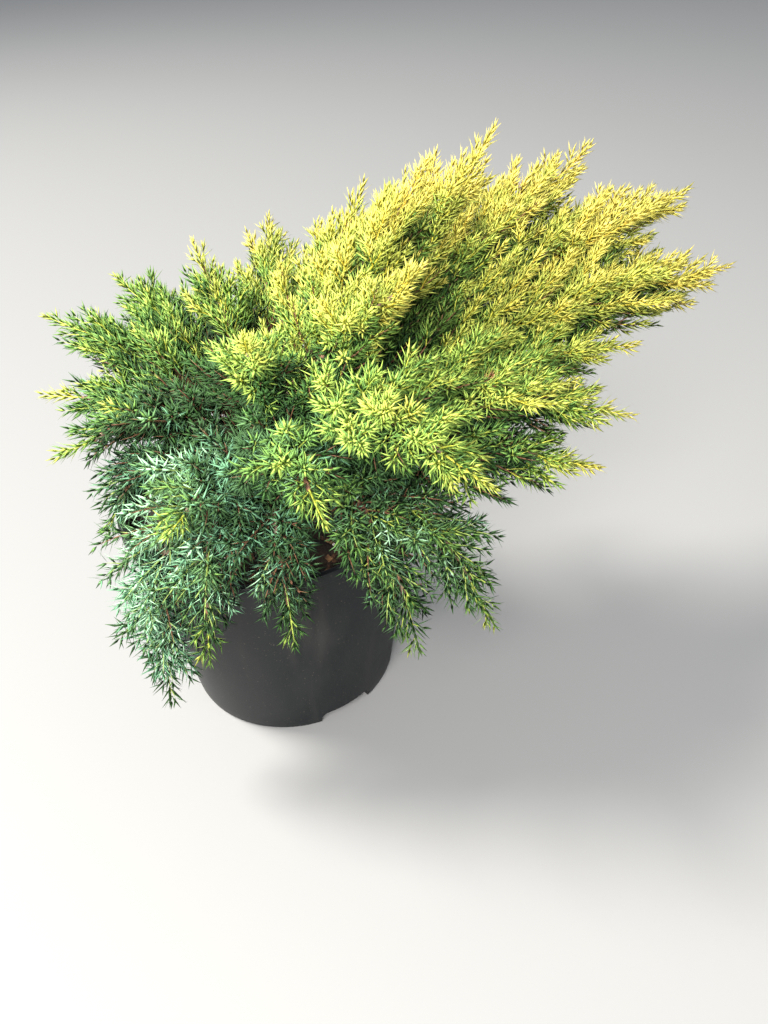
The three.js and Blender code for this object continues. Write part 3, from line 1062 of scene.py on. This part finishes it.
# Pot
pot = {
    "wall": 1.8 * mm,
    "floor": 2.5 * mm,
    "baseRadius": 90 * mm,
    "corner": 3 * mm,
    "wallFrom": 12 * mm,
    "wallRings": 14,
    "innerRings": 8,
    "rimWidth": 3.5 * mm,
    "rimDepth": 9 * mm,
    "rimRounding": 1.4 * mm,
    "arcSteps": 5,
    "underRim": [(1.2 * mm, 0), (0.3 * mm, 0.4 * mm)],  # in from the rim and up from its foot
    "underRimGap": 0.4 * mm,
    "insideRim": [(-1.2 * mm, 0), (0, 0.6 * mm), (0.2 * mm, 3 * mm)],  # in from the wall and down
    "notches": 3,
    "notchWidth": 47 * mm,
    "notchHeight": 12 * mm,
    "notchDepth": 11 * mm,
    "notchHeading": radians(-57),
    "archSteps": 9,
    "pastWall": 30 * mm,
    "slotWidth": 24 * mm,
    "slotHeight": 4 * mm,
    "slotReach": 6 * mm,
    "sides": 160,
    "sharpAngle": radians(32),
}
topRadius = rimRadius - pot["rimWidth"]


def wallRadius(height):
    return pot["baseRadius"] + (topRadius - pot["baseRadius"]) * height / potHeight


def lathe(profile):
    # The profile starts and ends on the axis, where all the corners of a ring are one.
    sides = pot["sides"]
    shape = bmesh.new()
    verts = []
    for radius, height in profile:
        if radius == 0:
            verts += [shape.verts.new((0, 0, height))] * sides
        else:
            places = [onCircle(radius, k * 2 * pi / sides) for k in range(sides)]
            verts += [shape.verts.new((*place, height)) for place in places]
    for a, b in bandEdges(len(profile) - 1, sides):
        loop = [verts[a], verts[b], verts[b + sides], verts[a + sides]]
        shape.faces.new(list(dict.fromkeys(loop)))
    bmesh.ops.recalc_face_normals(shape, faces=shape.faces)
    return shape


def archOutline(margin):
    # The outline of a notch as it is seen from outside, grown by a margin.
    half = pot["notchWidth"] / 2 + margin
    top = pot["notchHeight"] + margin
    rounding = pot["notchHeight"] / 2
    points = [(-half, -mm), (half, -mm)]
    for middle, start in ((half - rounding, 0), (rounding - half, pi / 2)):
        for angle in np.linspace(start, start + pi / 2, pot["archSteps"]):
            points.append((middle + rounding * cos(angle), top + rounding * (sin(angle) - 1)))
    return points


def slotOutline():
    half = pot["slotWidth"] / 2
    foot = (pot["notchHeight"] - pot["slotHeight"]) / 2
    top = foot + pot["slotHeight"]
    return [(-half, foot), (half, foot), (half, top), (-half, top)]


def prism(outline, start, end, heading):
    # The outline pushed along a heading, between two distances off the axis.
    shape = bmesh.new()
    count = len(outline)
    verts = []
    for distance in (start, end):
        for across, height in outline:
            x = cos(heading) * distance - sin(heading) * across
            y = sin(heading) * distance + cos(heading) * across
            verts.append(shape.verts.new((x, y, height)))
    shape.faces.new(verts[:count])
    shape.faces.new(verts[count:])
    for a, b in bandEdges(1, count):
        shape.faces.new((verts[a], verts[b], verts[b + count], verts[a + count]))
    bmesh.ops.recalc_face_normals(shape, faces=shape.faces)
    return shape


def shapeObject(shape, name):
    mesh = bpy.data.meshes.new(name)
    shape.to_mesh(mesh)
    shape.free()
    return linked(name, mesh)


def cutAway(target, cutters):
    for cutter in cutters:
        cut = target.modifiers.new("cut", "BOOLEAN")
        cut.operation = "DIFFERENCE"
        cut.solver = "EXACT"
        cut.object = cutter
    bpy.context.view_layer.update()
    evaluated = target.evaluated_get(bpy.context.evaluated_depsgraph_get())
    mesh = bpy.data.meshes.new_from_object(evaluated)
    target.modifiers.clear()
    old = target.data
    target.data = mesh
    bpy.data.meshes.remove(old)
    for cutter in cutters:
        bpy.data.meshes.remove(cutter.data)
    return target


def outerProfile():
    corner, rounding = pot["corner"], pot["rimRounding"]
    quarter = np.linspace(0, pi / 2, pot["arcSteps"])
    rimFoot = potHeight - pot["rimDepth"]
    points = [(0, 0), (pot["baseRadius"] - corner, 0)]
    for angle in quarter:
        height = corner * (1 - cos(angle))
        points.append((wallRadius(height) - corner * (1 - sin(angle)), height))
    wallTop = rimFoot - pot["underRimGap"]
    points += [(wallRadius(h), h) for h in np.linspace(pot["wallFrom"], wallTop, pot["wallRings"])]
    points += [(rimRadius - inwards, rimFoot + rise) for inwards, rise in pot["underRim"]]
    points.append((rimRadius, rimFoot + rounding))
    for angle in quarter:
        out = rimRadius - rounding * (1 - cos(angle))
        points.append((out, potHeight - rounding * (1 - sin(angle))))
    inner = topRadius - pot["wall"]
    points += [(inner - inwards, potHeight - drop) for inwards, drop in pot["insideRim"]]
    return [*points, (0, points[-1][1])]


def innerProfile():
    floor, wall = pot["floor"], pot["wall"]
    points = [(0, floor), (pot["baseRadius"] - wall - pot["corner"], floor)]
    heights = np.linspace(floor + pot["corner"], potHeight + mm, pot["innerRings"])
    points += [(wallRadius(h) - wall, h) for h in heights]
    return [*points, (0, potHeight + mm)]


def prisms(name, outline, start, end):
    # One prism at each notch.
    made = []
    for k in range(pot["notches"]):
        heading = pot["notchHeading"] + 2 * pi / pot["notches"] * k
        made.append(shapeObject(prism(outline, start, end, heading), name))
    return made


def addPot():
    back = pot["baseRadius"] - pot["notchDepth"]
    outside = back + pot["pastWall"]
    wall, reach = pot["wall"], pot["slotReach"]
    kept = prisms("kept", archOutline(wall), back - wall, outside)
    cavity = cutAway(shapeObject(lathe(innerProfile()), "cavity"), kept)
    notches = prisms("notch", archOutline(0), back, outside)
    slots = prisms("slot", slotOutline(), back - reach, back + reach)
    body = shapeObject(lathe(outerProfile()), "pot_body")
    piece = cutAway(body, [*notches, cavity, *slots])
    piece.data.shade_smooth()
    piece.data.set_sharp_from_angle(angle=pot["sharpAngle"])
    dressed(piece, [blackPlastic()])
    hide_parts("pot")
    report(f"pot, {len(piece.data.polygons)} faces")


addPot()


# Potting mix
soil = {
    "sides": 120,
    "rings": 34,
    "gap": 0.3 * mm,
    "sink": 0.8 * mm,
    "coarse": {"scale": 45, "height": 2.2 * mm, "seed": 3},
    "fine": {"scale": 160, "height": 1.3 * mm, "seed": 8},
    "smoothRadius": 20 * mm,
    "mound": 1.6 * mm,
    "moundRadius": 30 * mm,
    "depth": 20 * mm,
}
soilEdge = wallRadius(soilTop) - pot["wall"] - soil["gap"]


def lumps(x, y, kind):
    return noise.noise(Vector((x * kind["scale"], y * kind["scale"], kind["seed"]))) * kind["height"]


def soilHeight(x, y):
    radius = hypot(x, y)
    rough = lumps(x, y, soil["coarse"]) + lumps(x, y, soil["fine"])
    rough *= min(1, radius / soil["smoothRadius"])
    mound = soil["mound"] * exp(-((radius / soil["moundRadius"]) ** 2))
    return soilTop - soil["sink"] + rough + mound


def addSoil():
    sides, rings = soil["sides"], soil["rings"]
    corners = [(0, 0, soilTop)]
    for ring in range(1, rings + 1):
        for k in range(sides):
            x, y = onCircle(soilEdge * ring / rings, k * 2 * pi / sides)
            corners.append((x, y, soilHeight(x, y)))
    foot = soilTop - soil["depth"]
    shrunk = 1 - (wallRadius(soilTop) - wallRadius(foot)) / soilEdge
    corners += [(x * shrunk, y * shrunk, foot) for x, y, z in corners[-sides:]]
    faces = [(0, 1 + k, 1 + (k + 1) % sides) for k in range(sides)]
    faces += [(a + 1, a + sides + 1, b + sides + 1, b + 1) for a, b in bandEdges(rings, sides)]
    bottom = 1 + rings * sides
    faces.append(tuple(range(bottom + sides - 1, bottom - 1, -1)))
    piece = gridPiece("soil", rows(corners), faces, [dampSoil()])
    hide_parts("potting_mix")


# Small angular lumps on the potting mix.
grit = {
    "bark_chips": {"count": 420, "size": 3.6 * mm, "flatness": 0.28, "seed": 11},
    "perlite": {"count": 70, "size": 1.3 * mm, "flatness": 0.8, "seed": 12},
}
gritShape = {
    "fromEdge": 5 * mm,
    "innermost": 0.03,
    "long": (0.6, 1.6),
    "wide": (0.4, 0.8),
    "angular": 0.45,
    "tilt": 0.3,
    "above": 0.5 * mm,
}
boxCorners = rows(list(itertools.product((-1, 1), repeat=3)))
boxFaces = [(0, 1, 3, 2), (4, 6, 7, 5), (0, 4, 5, 1), (2, 3, 7, 6), (0, 2, 6, 4), (1, 5, 7, 3)]


def addGrit(name, paints):
    values = grit[name]
    size = values["size"]
    random = np.random.default_rng(values["seed"])
    corners, faces, kinds = [], [], []
    for i in range(values["count"]):
        radius = (soilEdge - gritShape["fromEdge"]) * sqrt(random.uniform(gritShape["innermost"], 1))
        x, y = onCircle(radius, random.uniform(0, 2 * pi))
        length = size * random.uniform(*gritShape["long"])
        width = size * random.uniform(*gritShape["wide"])
        angular = 1 - gritShape["angular"] * random.uniform(0, 1, boxCorners.shape)
        lump = boxCorners * angular * rows([length, width, size * values["flatness"]])
        spin = Matrix.Rotation(random.uniform(0, 2 * pi), 3, "Z")
        tilt = Matrix.Rotation(random.normal(0, gritShape["tilt"]), 3, "X")
        lump = lump @ np.array(spin @ tilt).T
        corners.append(lump + rows([x, y, soilHeight(x, y) + gritShape["above"]]))
        faces += [tuple(8 * i + v for v in face) for face in boxFaces]
        kinds += [int(random.integers(len(paints)))] * len(boxFaces)
    gridPiece(name, np.concatenate(corners), faces, paints, kinds)


addSoil()
chips = [chipBark("chip_dark", "2a1b12", "5a3d28"), chipBark("chip_light", "4a3220", "8a6644")]
addGrit("bark_chips", chips)
addGrit("perlite", [Paint("perlite", "d8d4c8", 0.9).material])
report("potting mix")


# Camera, floor and lights
view = {
    "place": (0.0893, -0.507, 0.5625),
    "pitch": radians(38.66),
    "roll": radians(3.0),
    "lens": 28.125,  # on a sensor 36 wide
    "nearest": 0.01,
}
studio = {
    "floor": "7a7a7a",
    "target": (0.08, 0, 0.2),
    "key": {"place": (-2.6, 0.6, 3.9), "size": 1.6, "power": 600, "color": (1, 0.97, 0.9)},
    "fill": {"place": (-0.3, -1.9, 1.7), "size": 1.6, "power": 168, "color": (1, 0.98, 0.94)},
    "sky": (0.86, 0.92, 1, 1),
    "skyStrength": 0.72,
}


def addCamera():
    data = bpy.data.cameras.new("camera")
    data.lens = view["lens"]
    data.clip_start = view["nearest"]
    camera = linked("camera", data)
    turned = Matrix.Rotation(pi / 2 - view["pitch"], 4, "X") @ Matrix.Rotation(-view["roll"], 4, "Z")
    camera.matrix_world = Matrix.Translation(Vector(view["place"])) @ turned
    scene.camera = camera


def addFloor():
    shape = bmesh.new()
    bmesh.ops.create_grid(shape, x_segments=8, y_segments=8, size=6)
    floor = shapeObject(shape, "floor")
    floor.data.materials.append(Paint("floor", studio["floor"], 0.7).material)


def addLight(name):
    values = studio[name]
    data = bpy.data.lights.new(name, "AREA")
    data.shape = "DISK"
    data.size = values["size"]
    data.energy = values["power"]
    data.color = values["color"]
    light = linked(name, data)
    light.location = values["place"]
    towards = Vector(studio["target"]) - light.location
    light.rotation_euler = towards.to_track_quat("-Z", "Y").to_euler()


def addWorld():
    world = bpy.data.worlds.new("studio")
    world.use_nodes = True
    sky = world.node_tree.nodes["Background"]
    sky.inputs["Color"].default_value = studio["sky"]
    sky.inputs["Strength"].default_value = studio["skyStrength"]
    scene.world = world


scene.view_settings.view_transform = "Standard"
addCamera()
addFloor()
addLight("key")
addLight("fill")
addWorld()
report("stage")
